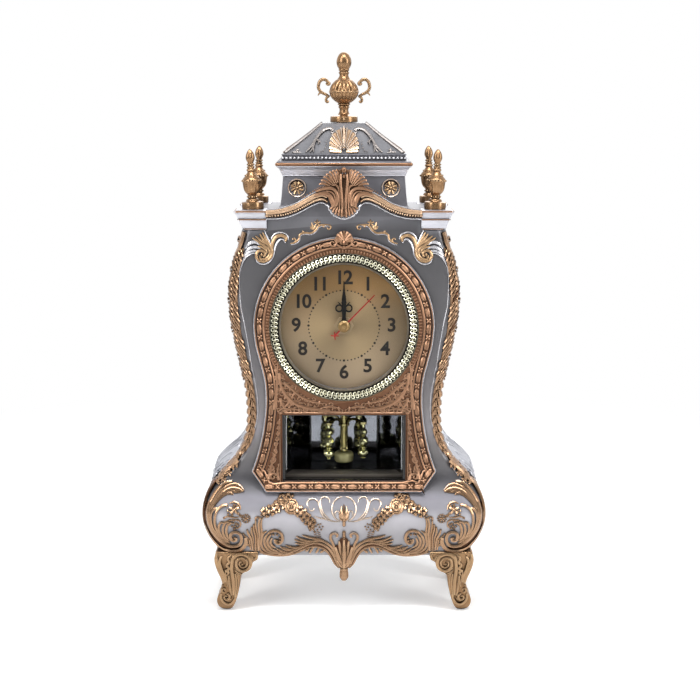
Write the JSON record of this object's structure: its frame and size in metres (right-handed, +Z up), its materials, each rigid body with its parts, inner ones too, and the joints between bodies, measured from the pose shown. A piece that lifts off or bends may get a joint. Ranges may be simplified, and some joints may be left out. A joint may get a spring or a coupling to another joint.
{
  "type": "mantel clock",
  "caption": "Waisted baroque table clock on scroll legs, with a round dial, a window showing a hanging rotary pendulum, an arched pediment, a hipped roof, an urn and corner finials.",
  "frame": {"origin": "centre of the overall footprint, on the plane that the four feet stand on", "axes": "+Z up, front of the clock towards -Y, +X to the right as seen from the front"},
  "size_m": [0.1664, 0.0865, 0.326],
  "materials": {
    "silver_case": "satin metallic lacquer",
    "dark_silver": "satin metallic lacquer, darker",
    "antique_gold": "antiqued gold paint with darker hollows",
    "copper_gold": "copper-gold paint with darker hollows",
    "bright_gold": "polished plating",
    "polished_metal": "turned and polished",
    "clear_lens": "clear",
    "mirror_sheet": "mirror",
    "black_plastic": "moulded",
    "dial_coat": "pearl champagne print",
    "black_lacquer": "black lacquer",
    "red_lacquer": "red lacquer",
    "battery_sleeve": "plain printed sleeve"
  },
  "bodies": {
    "case": {"front_shell": "silver_case", "rear_shell": "silver_case", "base_plate": "silver_case", "leg_front_left": "antique_gold", "leg_front_right": "antique_gold", "leg_rear_left": "antique_gold", "leg_rear_right": "antique_gold", "top_deck": "dark_silver", "capital_front_left": "silver_case", "capital_front_right": "silver_case", "capital_rear_left": "silver_case", "capital_rear_right": "silver_case", "finial_front_left": "antique_gold", "finial_front_right": "antique_gold", "finial_rear_left": "antique_gold", "finial_rear_right": "antique_gold", "attic_box": "dark_silver", "roof_cornice": "silver_case", "roof_shell": "silver_case", "crown_urn": "antique_gold", "urn_handle_left": "antique_gold", "urn_handle_right": "antique_gold", "dial_surround": "copper_gold", "chain_bezel": "bright_gold", "lens_ring": "polished_metal", "dial_lens": "clear_lens", "window_pane": "clear_lens", "compartment_liner": "black_plastic", "mirror_back": "mirror_sheet", "mirror_left": "mirror_sheet", "mirror_right": "mirror_sheet", "clock_movement": "black_plastic", "movement_battery": "battery_sleeve", "movement_nut": "bright_gold", "dial_plate": "dial_coat", "pendulum_drive": "black_plastic", "pendulum_battery": "battery_sleeve", "pediment_left": "copper_gold", "pediment_right": "copper_gold", "crest_shell": "copper_gold", "rosette_left": "antique_gold", "rosette_right": "antique_gold", "corner_trim_left": "copper_gold", "corner_trim_right": "copper_gold", "corner_scroll_left": "antique_gold", "corner_scroll_right": "antique_gold", "apron_front": "antique_gold"},
    "minute": {"minute_hand": "black_lacquer"},
    "hour": {"hour_hand": "black_lacquer"},
    "second": {"second_hand": "red_lacquer", "centre_cap": "bright_gold"},
    "knob": {"set_knob": "black_plastic"},
    "rotor": {"rotor_column": "bright_gold", "rotor_spindle_1": "bright_gold", "rotor_spindle_2": "bright_gold", "rotor_spindle_3": "bright_gold", "rotor_spindle_4": "bright_gold", "rotor_nut": "bright_gold"},
    "lid": {"service_lid": "silver_case"}
  },
  "joints": [
    {"name": "minute_spin", "type": "hinge", "parent": "case", "child": "minute", "pos_m": [0, -0.03, 0.1697], "axis": [0, 1, 0], "continuous": true},
    {"name": "hour_spin", "type": "hinge", "parent": "case", "child": "hour", "pos_m": [0, -0.03, 0.1697], "axis": [0, 1, 0], "continuous": true},
    {"name": "second_spin", "type": "hinge", "parent": "case", "child": "second", "pos_m": [0, -0.03, 0.1697], "axis": [0, 1, 0], "continuous": true},
    {"name": "knob_spin", "type": "hinge", "parent": "case", "child": "knob", "pos_m": [0, -0.0076, 0.1807], "axis": [0, 1, 0], "continuous": true},
    {"name": "rotor_spin", "type": "hinge", "parent": "case", "child": "rotor", "pos_m": [0, -0.005, 0.1], "axis": [0, 0, 1], "continuous": true},
    {"name": "lid_slide", "type": "slide", "parent": "case", "child": "lid", "axis": [0, 1, 0], "range_m": [0, 0.04]}
  ],
  "couplings": [
    {"joint": "hour_spin", "follows": "minute_spin", "ratio": 0.083333},
    {"joint": "knob_spin", "follows": "minute_spin", "ratio": -3}
  ]
}
